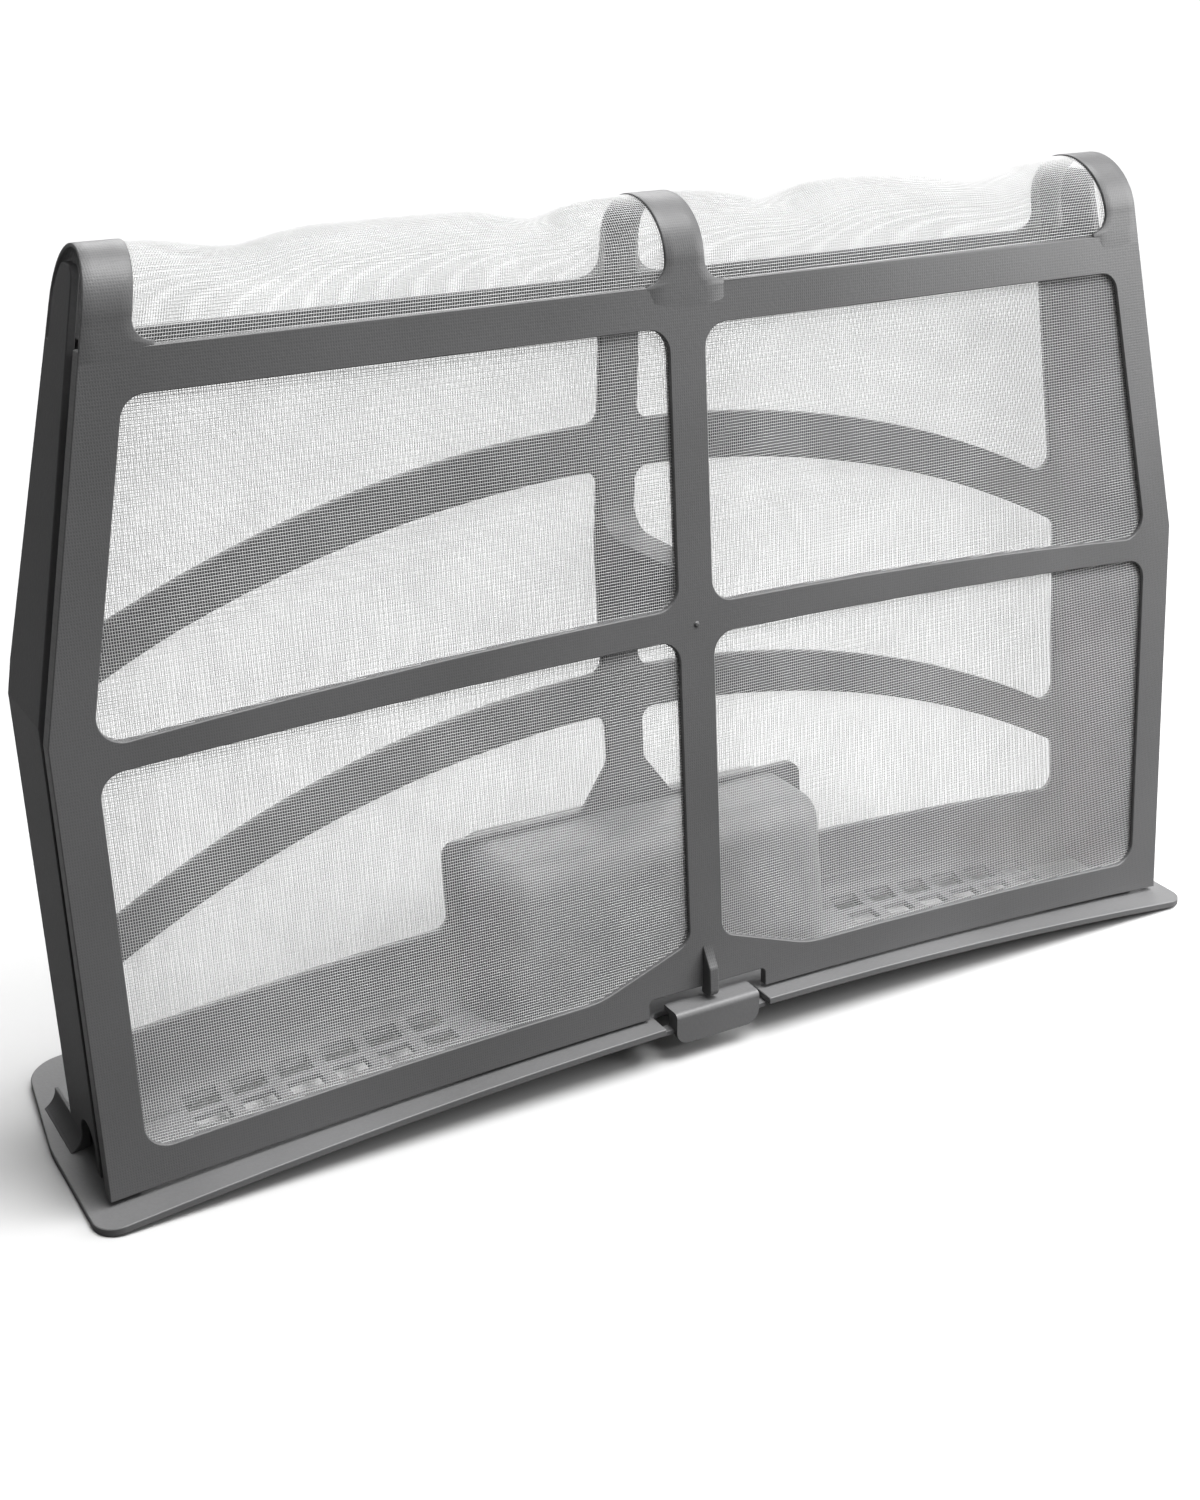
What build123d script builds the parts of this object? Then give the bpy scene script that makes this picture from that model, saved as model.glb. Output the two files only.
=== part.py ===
# Tumble dryer lint filter, standing upside down on its arched handle plate.
# Millimetres, +Z up, X along the plate; the leaf that opens is on the -Y side.
# The origin is under the middle of the plate, on the table it stands on.
import os
from math import asin, degrees, sqrt

from build123d import *

# handle plate, an arched sheet that stands on its two ends
plate_half = 170.5
plate_depth = 80.5
plate_t = 2.0
plate_r = 1490.0
plate_taper_y = 40.5        # where the ends begin to draw in, from the front edge
plate_rear_half = 165.2
plate_bend_r = 60.0
plate_front_r = 6.5
plate_rear_r = 9.0

# air slots in the plate
slot_long = 9.0
slot_wide = 5.8
slot_first_x = 69.0
slot_pitch = 12.6
slot_count = 6
slot_rows = (28.8, 37.3)    # from the plate's front edge

# finger cup, hollow from below
cup_half = 56.0
cup_front = 21.5            # from the plate's front edge
cup_depth = 43.0
cup_high = 42.0             # above the plate's crown
cup_taper = 5.4
cup_plan_r = 14.0
cup_top_r = 9.0
cup_wall = 2.0
cup_inner_chamfer = 5.0
cup_corner = 9.0            # bevel of the hollow's upright corners

# opening leaf; heights are from its middle rail, depths from its front face
leaf_half = 165.0
leaf_taper = 0.2067         # each side draws in by this for each mm above the middle
leaf_setback = 18.5         # front edge of the plate to the leaf's face at mid height
leaf_slope = 0.0925
leaf_bow = 3.6              # the face stands forward at the centre by this
bow_span = 150.0
leaf_t = 2.4
flange_t = 2.0
flange_depth = 4.0
leaf_top = 85.2
floor_below = 105.2         # middle rail down to the plate's crown
leaf_lift = 0.8             # the leaf's foot above that crown
leaf_border = 10.2
post_half = 5.1
upper_top = 75.2
upper_bottom = 5.6
lower_top = -2.5
lower_bottom = -95.2
top_r = 13200.0
rail_upper_r = 1580.0
rail_lower_r = 2026.0
window_bottom_r = 1648.0
leaf_bottom_r = 1575.0
window_r = 6.0

# swell of the bottom rail around the latch, with its notch, fin and gate pip
swell_half = 32.0
swell_top = -85.6
swell_r = 25.0
swell_post_r = 5.0
notch_half = 18.4
notch_top = -99.2
notch_r = 1.5
fin_t = 2.7
fin_top = -87.5
fin_bottom = -101.5
fin_out = 3.4
fin_slope = 5.5
fin_r = 2.0
pip_r = 0.6
pip_up = 0.8
pip_out = 0.4

# fixed rear leaf, with a bend at mid height
rear_inset = 1.5            # each side of the rear leaf stands in by this
rear_t = 2.4
rear_kink_y = 37.5          # behind the opening leaf's face at mid height
rear_kink_z = 8.0
rear_lean_up = 0.038
rear_lean_down = 0.115
rear_top = 82.3
rear_rail = 10.0
rear_border = 10.0
rear_post_half = 5.5
upper_rib_top = 44.3
upper_rib_fall = 38.3       # from its middle out to the side border
upper_rib_band = 12.7
lower_rib_top = -24.3
lower_rib_fall = 40.1
lower_rib_band = 11.6
rear_wall_top = -84.5
rear_wall_r = 1606.0
rear_window_r = 4.0
cup_rim = 1.2
foot_half = 15.0
foot_high = 12.0
wall_t = 2.0
wall_gap = 9.5              # between the leaf's flange and the rear side wall
cove_r = 7.0
end_cove_r = 6.0
end_cove_front = 27.0       # from the plate's front edge
end_cove_long = 32.0

# lip inside each side wall, forward to the back of the leaf's stile
lip_in = 5.4
lip_t = 1.6
lip_clear = 0.7

# ear of each side wall, up inside the hinge straps
ear_top = 99.5
ear_clear = 0.6
ear_r = 3.5

# arched opening at the foot of each side wall
hole_front = 24.5           # from the plate's front edge
hole_wide = 11.0
hole_high = 11.0

# spacer arm from the rear post to the leaf
arm_half = 5.0
arm_top = 15.0
arm_bottom = -6.0
arm_wall = 1.6
arm_r = 8.0
arm_clear = 0.4

# hinge straps and the bare mesh between them, arched about the hinge axis
hinge_back = 21.5           # behind the leaf's face at mid height
hinge_high = 90.0
strap_out_r = 14.5
strap_t = 0.9
strap_half = 5.5
strap_wide = 10.9           # at the ends of the leaf's top rail, whose slant its inner edge keeps
strap_foot = 0.8
strap_flare = 7.0
strap_flare_r = 5.5
strap_clear = 0.3
centre_lean = 2.2           # the centre strap's front leg leans out to the bowed rail
bay_sink = 0.6
bay_clear = 0.3

# filter mesh
mesh_t = 0.5
mesh_clear = 0.1
thread = 1.6
front_pitch = 12.4
rear_pitch = 15.4

# latch tab on two torsion strips, in a gap of the plate's front edge
gap_half = 16.4
gap_depth = 9.0
gap_r = 3.0
tab_half = 13.0
tab_top = 3.0               # above the plate's crown
tab_back = 7.0              # from the plate's front edge
tab_front = 0.2
tab_drop = 7.7
tab_t = 1.6
tab_round = 1.5
tab_corner_r = 4.0
strip_front = 1.6
strip_wide = 3.0
strip_t = 1.2
strip_low = 2.0             # below the plate's crown
strip_clear = 0.4
rib_t = 1.6

reach = 400.0
margin = 10.0
straight_r = 100000.0       # an arch this flat is a straight line

front_y = -plate_depth / 2
leaf_y = front_y + leaf_setback
crown = plate_t + (plate_r - plate_t) - sqrt((plate_r - plate_t)**2 - plate_half**2)
mid = crown + floor_below
leaf_bottom = leaf_lift - floor_below
rear_half = leaf_half - rear_inset
strap_inner = leaf_half - leaf_taper * leaf_top - strap_wide
hinge_y = leaf_y + hinge_back
hinge_z = mid + hinge_high


def front_prism(shape):
    return extrude(Plane.XZ * shape, amount=reach, both=True)


def side_prism(shape, half):
    return extrude(Plane.YZ * shape, amount=half, both=True)


# arc crowned at height z on the centre line
def arch(z, radius, half):
    low = z - radius + sqrt(radius**2 - half**2)
    return ThreePointArc((-half, low), (0, z), (half, low))


# area between two arched lines, cut off at both ends
def arched_band(z_high, r_high, z_low, r_low, half):
    high = arch(z_high, r_high, half)
    low = arch(z_low, r_low, half)
    left = Line(high @ 0, low @ 0)
    right = Line(high @ 1, low @ 1)
    return make_face([high, right, low, left])


def box_face(x_low, x_high, z_low, z_high):
    corners = [(x_low, z_low), (x_high, z_low), (x_high, z_high), (x_low, z_high)]
    return make_face(Polyline(corners, close=True))


# corners of a flat shape that pass a test on their place
def picked(shape, test):
    return [v for v in shape.vertices() if test(v.X, v.Y)]


# area inside a leaf's sides above the middle, where they draw in
def drawn_sides(half):
    draw = leaf_taper * reach / 2
    corners = [(draw - half, mid + reach / 2), (-draw - half, mid - reach / 2)]
    corners += [(draw + half, mid - reach / 2), (half - draw, mid + reach / 2)]
    return make_face(Polyline(corners, close=True))


# area inside a leaf's sides, straight below the middle and drawn in above
def between_sides(half):
    return drawn_sides(half) & box_face(-half, half, mid - reach / 2, mid + reach / 2)


# handle plate
plan_points = [(-plate_half, front_y), (plate_half, front_y), (plate_half, front_y + plate_taper_y)]
plan_points += [(plate_rear_half, -front_y), (-plate_rear_half, -front_y)]
plan_points += [(-plate_half, front_y + plate_taper_y)]
plan = Sketch() + make_face(Polyline(plan_points, close=True))
plan = fillet(picked(plan, lambda x, y: y < front_y + 1), plate_front_r)
plan = fillet(picked(plan, lambda x, y: y > -front_y - 1), plate_rear_r)
plan = fillet(picked(plan, lambda x, y: abs(y - front_y - plate_taper_y) < 1), plate_bend_r)
sheet = arched_band(crown, plate_r, crown - plate_t, plate_r - plate_t, plate_half + margin)
plate = extrude(plan, amount=reach, both=True) & front_prism(sheet)

cup_y = front_y + cup_front + cup_depth / 2
cup_plan = RectangleRounded(2 * cup_half, cup_depth, cup_plan_r)
cup = extrude(Pos(0, cup_y, crown) * cup_plan, amount=cup_high, taper=cup_taper)
cup = fillet(cup.faces().sort_by(Axis.Z)[-1].edges(), cup_top_r)
skirt = extrude(Pos(0, cup_y, crown) * cup_plan, amount=-crown)
cup_solid = cup + skirt
hollow_plan = Sketch() + Rectangle(2 * (cup_half - cup_wall), cup_depth - 2 * cup_wall)
hollow_plan = chamfer(hollow_plan.vertices(), cup_corner)
hollow = extrude(Pos(0, cup_y, crown) * hollow_plan, amount=cup_high - cup_wall, taper=cup_taper)
hollow = chamfer(hollow.faces().sort_by(Axis.Z)[-1].edges(), cup_inner_chamfer)
hollow += extrude(Pos(0, cup_y, crown) * hollow_plan, amount=-reach)
over_sheet = arched_band(crown + reach, plate_r, crown - plate_t, plate_r - plate_t, plate_half + margin)
plate += cup_solid & front_prism(over_sheet)
plate -= hollow

slot = extrude(Rectangle(slot_long, slot_wide), amount=reach, both=True)
slot_places = []
for row in slot_rows:
    for k in range(slot_count):
        x = slot_first_x + k * slot_pitch
        slot_places += [Pos(x, front_y + row), Pos(-x, front_y + row)]
slots = [place * slot for place in slot_places]
plate -= slots

gap = RectangleRounded(2 * gap_half, 2 * gap_depth, gap_r)
plate -= extrude(Pos(0, front_y) * gap, amount=reach, both=True)

# latch tab
tab_y = front_y + tab_front
tab_high = crown + tab_top
tab_low = tab_high - tab_drop - tab_t
section = box_face(tab_y, front_y + tab_back, tab_high - tab_t, tab_high)
section = Sketch() + section + box_face(tab_y, tab_y + tab_t, tab_low, tab_high)
arris = section.vertices().sort_by(lambda v: v.X - v.Y)[0]
section = fillet([arris], tab_round)
tab = side_prism(section, tab_half)
low_edges = tab.edges().filter_by(Axis.Y).group_by(Axis.Z)[0]
tab = fillet(low_edges, tab_corner_r)
rib_low = crown - strip_low - strip_t
rib = box_face(tab_y + tab_t / 2, front_y + strip_front + strip_wide, rib_low, tab_high - tab_t / 2)
tab += side_prism(rib, tab_half) - side_prism(rib, tab_half - rib_t)
strip_y = front_y + strip_front
strip = box_face(strip_y, strip_y + strip_wide, rib_low, rib_low + strip_t)
tab += side_prism(strip, gap_half - strip_clear) - side_prism(strip, tab_half - rib_t)

wide = leaf_half + margin

# opening leaf: the outline and windows seen from the front, cut out of a bowed slab
bow_r = (bow_span**2 + leaf_bow**2) / (2 * leaf_bow)
leaf_plane = Plane(origin=(0, leaf_y, mid), x_dir=(1, 0, 0), z_dir=(0, leaf_slope, 1))


def leaf_slab(near, far):
    back = bow_r - sqrt(bow_r**2 - wide**2) - leaf_bow
    face_arc = ThreePointArc((-wide, back + near), (0, near - leaf_bow), (wide, back + near))
    back_arc = ThreePointArc((-wide, back + far), (0, far - leaf_bow), (wide, back + far))
    left = Line(face_arc @ 0, back_arc @ 0)
    right = Line(face_arc @ 1, back_arc @ 1)
    return extrude(leaf_plane * make_face([face_arc, right, back_arc, left]), amount=reach / 2, both=True)


leaf_height = arched_band(mid + leaf_top, top_r, mid + leaf_bottom, leaf_bottom_r, wide)
leaf_shape = between_sides(leaf_half) & leaf_height
inner = between_sides(leaf_half - leaf_border)
upper = arched_band(mid + upper_top, top_r, mid + upper_bottom, rail_upper_r, wide)
lower = arched_band(mid + lower_top, rail_lower_r, mid + lower_bottom, window_bottom_r, wide)
post = box_face(-post_half, post_half, mid - reach, mid + reach)
swell_peak = mid + swell_top
swell_drop = 2 * (swell_top - lower_bottom)
swell_far = post_half + 2 * (swell_half - post_half)
swell_line = [(-swell_far, swell_peak - swell_drop), (-post_half, swell_peak), (post_half, swell_peak)]
swell_line += [(swell_far, swell_peak - swell_drop)]
swell = make_face(Polyline(swell_line, close=True))
upper_panes = (drawn_sides(leaf_half - leaf_border) & upper) - post
upper_panes = fillet(upper_panes.vertices(), window_r)
lower_panes = (inner & lower) - post - swell
half_way = mid + (lower_top + lower_bottom) / 2
lower_panes = fillet(picked(lower_panes, lambda x, y: abs(x) > 2 * swell_half or y > half_way), window_r)
foot_corners = picked(lower_panes, lambda x, y: abs(abs(x) - swell_half) < 3 and y < half_way)
lower_panes = fillet(foot_corners, swell_r)
post_corners = picked(lower_panes, lambda x, y: abs(x) < post_half + 1 and y < half_way)
lower_panes = fillet(post_corners, swell_post_r)

leaf = front_prism(leaf_shape) & leaf_slab(0, leaf_t)
leaf -= front_prism(upper_panes)
leaf -= front_prism(lower_panes)
sides = leaf_shape - between_sides(leaf_half - flange_t)
leaf += front_prism(sides) & leaf_slab(0, flange_depth)
notch_high = mid + notch_top
notch = Sketch() + box_face(-notch_half, notch_half, notch_high - reach, notch_high)
notch = fillet(notch.vertices().group_by(Axis.Y)[-1], notch_r)
leaf -= front_prism(notch)


# y of the leaf's front face on the centre line
def face_y(z):
    return leaf_y - leaf_bow + leaf_slope * z


fin_points = [(face_y(fin_top) + leaf_t / 2, mid + fin_top), (face_y(fin_top), mid + fin_top)]
fin_points += [(face_y(fin_top - fin_slope) - fin_out, mid + fin_top - fin_slope)]
fin_points += [(face_y(fin_bottom) - fin_out, mid + fin_bottom)]
fin_points += [(face_y(fin_bottom) + leaf_t / 2, mid + fin_bottom)]
fin_face = Sketch() + make_face(Polyline(fin_points, close=True))
fin_face = fillet(picked(fin_face, lambda y, z: y < face_y(fin_bottom) - 1), fin_r)
leaf += side_prism(fin_face, fin_t / 2)
pip_pin = Cylinder(pip_r, leaf_t / 2 + pip_out, align=(Align.CENTER, Align.CENTER, Align.MIN))
leaf += Pos(0, face_y(pip_up) - pip_out, mid + pip_up) * Rot(-90, 0, 0) * pip_pin

# fixed rear leaf
kink = mid + rear_kink_z


# y of the rear leaf's front face at a height
def rear_y(z):
    slope = -rear_lean_up if z > kink else rear_lean_down
    return leaf_y + rear_kink_y + slope * (z - kink)


def rear_slab(near, far):
    heights = [-margin, kink, mid + reach / 2]
    line = [(rear_y(z) + near, z) for z in heights]
    line += [(rear_y(z) + far, z) for z in reversed(heights)]
    return side_prism(make_face(Polyline(line, close=True)), reach / 2)


rear_shape = between_sides(rear_half) & arched_band(mid + rear_top, straight_r, crown, plate_r, wide)
rear_post = box_face(-rear_post_half, rear_post_half, mid - reach, mid + reach)
border_half = rear_half - rear_border
straight_sides = box_face(-border_half, border_half, 0, mid + reach)
upper_z = mid + upper_rib_top
lower_z = mid + lower_rib_top
upper_rib_r = (border_half**2 + upper_rib_fall**2) / (2 * upper_rib_fall)
lower_rib_r = (border_half**2 + lower_rib_fall**2) / (2 * lower_rib_fall)
top_pair = arched_band(mid + rear_top - rear_rail, straight_r, upper_z, upper_rib_r, wide)
middle_pair = arched_band(upper_z - upper_rib_band, upper_rib_r, lower_z, lower_rib_r, wide)
bottom_pair = arched_band(lower_z - lower_rib_band, lower_rib_r, mid + rear_wall_top, rear_wall_r, wide)
cup_peak = crown + cup_high
cup_frame = box_face(-cup_half - cup_rim, cup_half + cup_rim, 0, cup_peak + cup_rim)
foot_line = [(-foot_half, cup_peak), (-rear_post_half, cup_peak + cup_rim + foot_high)]
foot_line += [(rear_post_half, cup_peak + cup_rim + foot_high), (foot_half, cup_peak)]
foot = make_face(Polyline(foot_line, close=True))
top_panes = (top_pair & drawn_sides(border_half)) - rear_post
middle_panes = (middle_pair & straight_sides) - rear_post
bottom_panes = (bottom_pair & straight_sides) - rear_post - cup_frame - foot
rear_panes = Sketch()
for panes in (top_panes, middle_panes, bottom_panes):
    rear_panes += fillet(panes.vertices(), rear_window_r)

rear = front_prism(rear_shape) & rear_slab(0, rear_t)
rear -= front_prism(rear_panes)
wall_shape = rear_shape - between_sides(rear_half - wall_t)
wall_front = flange_depth + wall_gap
wall_heights = [-margin, kink, mid + reach / 2]
wall_line = [(leaf_y + wall_front + leaf_slope * (z - mid), z) for z in wall_heights]
wall_line += [(rear_y(z) + rear_t / 2, z) for z in reversed(wall_heights)]
wall_face = make_face(Polyline(wall_line, close=True))
rear += front_prism(wall_shape) & side_prism(wall_face, reach / 2)

# ears: the side walls carried on above the rear rail, rounded under the straps
ear_bend = strap_out_r - strap_t - ear_clear
ear_low = mid + rear_top - rear_rail
ear_high = mid + ear_top
under_arch = Pos(hinge_y, hinge_z) * Circle(ear_bend)
under_arch += box_face(hinge_y - ear_bend, hinge_y + ear_bend, ear_low, hinge_z)
ear_face = under_arch & wall_face & box_face(-reach, reach, ear_low, ear_high)
ear_tips = picked(ear_face, lambda y, z: z > ear_high - 1)
ear_face = fillet(ear_tips, ear_r)
ear_band = between_sides(rear_half) - between_sides(rear_half - wall_t)
rear += side_prism(ear_face, reach / 2) & front_prism(ear_band)

arm_back = rear_y(mid + arm_top) + rear_t / 2
arm_front = face_y(arm_top) + leaf_t + arm_clear
arm_high = mid + arm_top
arm_face = Sketch() + box_face(arm_front, arm_back, mid + arm_bottom, arm_high)
arm_face += box_face(rear_y(mid), arm_back, arm_high - 1, arm_high + arm_r + 2)
arm_corner = picked(arm_face, lambda y, z: abs(y - rear_y(mid)) < 0.2 and abs(z - arm_high) < 0.2)
arm_face = fillet(arm_corner, arm_r)
rear += side_prism(arm_face, arm_half)
core = box_face(arm_front + arm_wall, arm_back + 9, mid + arm_bottom + arm_wall, mid + arm_top - arm_wall)
rear -= side_prism(core, arm_half - arm_wall)

# cove between the foot of the rear leaf and the arched plate
cove_y = rear_y(crown)
cove_high = crown + cove_r
bottom_line = Line((cove_y - cove_r, crown), (cove_y + rear_t / 2, crown))
back_line = Line((cove_y + rear_t / 2, crown), (cove_y + rear_t / 2, cove_high))
top_line = Line((cove_y + rear_t / 2, cove_high), (cove_y, cove_high))
cove_arc = RadiusArc((cove_y, cove_high), (cove_y - cove_r, crown), cove_r)
cove_face = Plane.YZ * make_face([bottom_line, back_line, top_line, cove_arc])
plate_axis = Axis((0, 0, crown - plate_r), (0, 1, 0))
cove_turn = degrees(asin((rear_half - wall_t) / plate_r))
rear += revolve(cove_face.rotate(plate_axis, -cove_turn), plate_axis, 2 * cove_turn)

# cove on the outside of each side wall
floor_z = crown - plate_r + sqrt(plate_r**2 - rear_half**2)
for side in (-1, 1):
    wall_x = side * rear_half
    out_x = side * (rear_half + end_cove_r)
    low = floor_z - 2
    high = floor_z + end_cove_r - 1
    base = Polyline([(out_x, floor_z - 1), (out_x, low), (wall_x - side, low), (wall_x - side, high)])
    lid = Line(base @ 1, (wall_x, high))
    bend = RadiusArc(lid @ 1, base @ 0, -side * end_cove_r)
    end_face = Plane.XZ * make_face([base, lid, bend])
    rear += extrude(Pos(0, front_y + end_cove_front + end_cove_long, 0) * end_face, amount=end_cove_long)
rear -= front_prism(arched_band(crown, plate_r, crown - reach, plate_r, plate_half + margin))
rear -= cup_solid
rear -= slots
hole_mid = front_y + hole_front + hole_wide / 2
hole_face = Sketch() + box_face(hole_mid - hole_wide / 2, hole_mid + hole_wide / 2, 0, floor_z + hole_high)
hole_face = fillet(hole_face.vertices().group_by(Axis.Y)[-1], hole_wide / 2 - 0.2)
rear -= side_prism(hole_face, reach)

# inner lips, which close the ends of the lint pocket
lip_shape = between_sides(rear_half - lip_in) - between_sides(rear_half - lip_in - lip_t)
lip_room = leaf_slab(leaf_t + lip_clear, reach / 4) & rear_slab(-reach / 4, rear_t / 2)
rear += front_prism(lip_shape & rear_shape) & lip_room


# square gap between two upright threads, as tall as its piece of the window allows
def gap_in(piece):
    box = piece.bounding_box()
    left = [v.Y for v in piece.vertices() if v.X < box.center().X]
    right = [v.Y for v in piece.vertices() if v.X > box.center().X]
    return box_face(box.min.X, box.max.X, max(min(left), min(right)), min(max(left), max(right)))


# mesh panes: upright threads with a gap between each two
def threaded(panes, pitch):
    field = offset(panes, -thread)
    count = int(field.bounding_box().max.X / pitch)
    strips = [Pos((k + 0.5) * pitch, mid) * Rectangle(pitch - thread, reach) for k in range(-count, count)]
    gaps = [gap_in(piece) for piece in (field & (Sketch() + strips)).faces()]
    return offset(panes, -mesh_clear) - gaps


leaf_mid = (leaf_t - mesh_t) / 2
leaf_cloth = leaf_slab(leaf_mid, leaf_mid + mesh_t)
front_mesh = front_prism(threaded(upper_panes, front_pitch)) & leaf_cloth
front_mesh += front_prism(threaded(lower_panes, front_pitch)) & leaf_cloth
rear_mid = (rear_t - mesh_t) / 2
rear_mesh = front_prism(threaded(rear_panes, rear_pitch)) & rear_slab(rear_mid, rear_mid + mesh_t)


# hinge straps and bare mesh: an arch about the hinge axis with a leg down to each rail
def over_axis(r):
    return ThreePointArc((hinge_y - r, hinge_z), (hinge_y, hinge_z + r), (hinge_y + r, hinge_z))


def arch_strip(out_r, t, lean):
    leg_z = mid + rear_top
    outer = over_axis(out_r)
    inside = over_axis(out_r - t)
    foot_out = hinge_y - out_r - lean
    front_leg = Polyline([inside @ 0, (foot_out + t, leg_z), (foot_out, leg_z), outer @ 0])
    rear_leg = Polyline([outer @ 1, (hinge_y + out_r, leg_z), (hinge_y + out_r - t, leg_z), inside @ 1])
    return side_prism(make_face([outer, rear_leg, inside, front_leg]), reach)


# the strip's front half stands on the leaf's top rail, its rear half on the lower rear rail
def over_hinge(shape, strip):
    upright = Plane.XZ * shape
    ahead = extrude(Pos(0, hinge_y, 0) * upright, amount=reach)
    behind = extrude(Pos(0, hinge_y, rear_top - leaf_top) * upright, amount=-reach)
    return (ahead + behind) & strip


strap_low = mid + leaf_top + strap_clear
strap_high = hinge_z + strap_out_r + 5
bar = box_face(-strap_half, strap_half, strap_low, strap_high)
foot_bar = box_face(-strap_half - strap_flare, strap_half + strap_flare, strap_low, strap_low + strap_foot)
centre_shape = Sketch() + bar + foot_bar
bar_top = strap_high - 1
inner_corners = picked(centre_shape, lambda x, y: abs(abs(x) - strap_half) < 0.1 and y < bar_top)
centre_shape = fillet(inner_corners, strap_flare_r)
side_bar = box_face(0, reach, strap_low, strap_high) - drawn_sides(leaf_half - strap_wide)
side_foot = box_face(strap_inner - strap_flare, reach, strap_low, strap_low + strap_foot)
side_shape = Sketch() + side_bar + side_foot
side_corner = picked(side_shape, lambda x, y: abs(x - strap_inner) < 1 and y < bar_top)
side_shape = fillet(side_corner, strap_flare_r) & between_sides(leaf_half)
centre_strap = over_hinge(centre_shape, arch_strip(strap_out_r, strap_t, centre_lean))
right_strap = over_hinge(side_shape, arch_strip(strap_out_r, strap_t, 0))
left_strap = mirror(right_strap, about=Plane.YZ)

bay = box_face(strap_half, strap_inner, strap_low, strap_high)
bay = bay - offset(centre_shape, bay_clear) - offset(side_shape, bay_clear)
right_bay = over_hinge(bay, arch_strip(strap_out_r - bay_sink, mesh_t, 0))
left_bay = mirror(right_bay, about=Plane.YZ)

nodes = {
    "handle_plate": plate,
    "latch_tab": tab,
    "rear_frame": rear,
    "front_frame": leaf,
    "front_mesh": front_mesh,
    "rear_mesh": rear_mesh,
    "strap_left": left_strap,
    "strap_centre": centre_strap,
    "strap_right": right_strap,
    "top_mesh_left": left_bay,
    "top_mesh_right": right_bay,
}
os.makedirs("parts", exist_ok=True)
for name, shape in nodes.items():
    export_step(shape, f"parts/{name}.step")
    box = shape.bounding_box()
    print(name, len(shape.solids()), round(shape.volume), box.min, box.max)
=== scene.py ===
from math import pi, radians

import bmesh
import bpy
import numpy as np
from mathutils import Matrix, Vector


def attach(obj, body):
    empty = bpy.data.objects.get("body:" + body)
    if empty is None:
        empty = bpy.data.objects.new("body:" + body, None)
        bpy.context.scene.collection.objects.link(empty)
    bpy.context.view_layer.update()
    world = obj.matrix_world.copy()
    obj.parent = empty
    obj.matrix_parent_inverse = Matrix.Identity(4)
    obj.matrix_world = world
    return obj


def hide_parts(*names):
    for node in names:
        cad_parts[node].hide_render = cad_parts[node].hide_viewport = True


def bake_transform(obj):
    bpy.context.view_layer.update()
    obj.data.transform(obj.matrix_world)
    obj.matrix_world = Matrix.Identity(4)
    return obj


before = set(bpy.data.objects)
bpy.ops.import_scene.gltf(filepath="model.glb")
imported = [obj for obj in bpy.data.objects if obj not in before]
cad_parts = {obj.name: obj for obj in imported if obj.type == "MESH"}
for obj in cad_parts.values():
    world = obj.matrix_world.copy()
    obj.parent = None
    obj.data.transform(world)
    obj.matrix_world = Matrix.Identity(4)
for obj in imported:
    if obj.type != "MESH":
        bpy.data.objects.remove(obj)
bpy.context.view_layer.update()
mm = 0.001  # the dictionaries below hold millimetres, addMesh turns them into metres
print("frame loaded:", len(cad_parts), "nodes")


# new object from arrays of points (mm) and four-cornered faces, at the origin
def addMesh(name, points, quads, material):
    mesh = bpy.data.meshes.new(name)
    mesh.vertices.add(len(points))
    mesh.vertices.foreach_set("co", (points * mm).astype(np.float32).ravel())
    mesh.loops.add(quads.size)
    mesh.loops.foreach_set("vertex_index", quads.astype(np.int32).ravel())
    mesh.polygons.add(len(quads))
    mesh.polygons.foreach_set("loop_start", np.arange(len(quads), dtype=np.int32) * 4)
    mesh.update(calc_edges=True)
    mesh.validate()
    mesh.shade_smooth()
    mesh.materials.append(material)
    obj = bpy.data.objects.new(name, mesh)
    bpy.context.scene.collection.objects.link(obj)
    return obj


# new node with the named sockets set; an underscore stands for a space
def addNode(tree, kind, **sockets):
    node = tree.nodes.new(kind)
    for key, value in sockets.items():
        node.inputs[key.replace("_", " ")].default_value = value
    return node


# speckle of a spark-eroded mould: fine noise for the bump, and broad noise plus a share of the
# fine one for the shade, stretched from the span to the full range
grainNoise = {
    "fineDetail": 3.0, "fineRough": 0.6, "broadDetail": 2.0, "fineShare": 0.35, "span": (0.45, 0.9),
}


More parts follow.
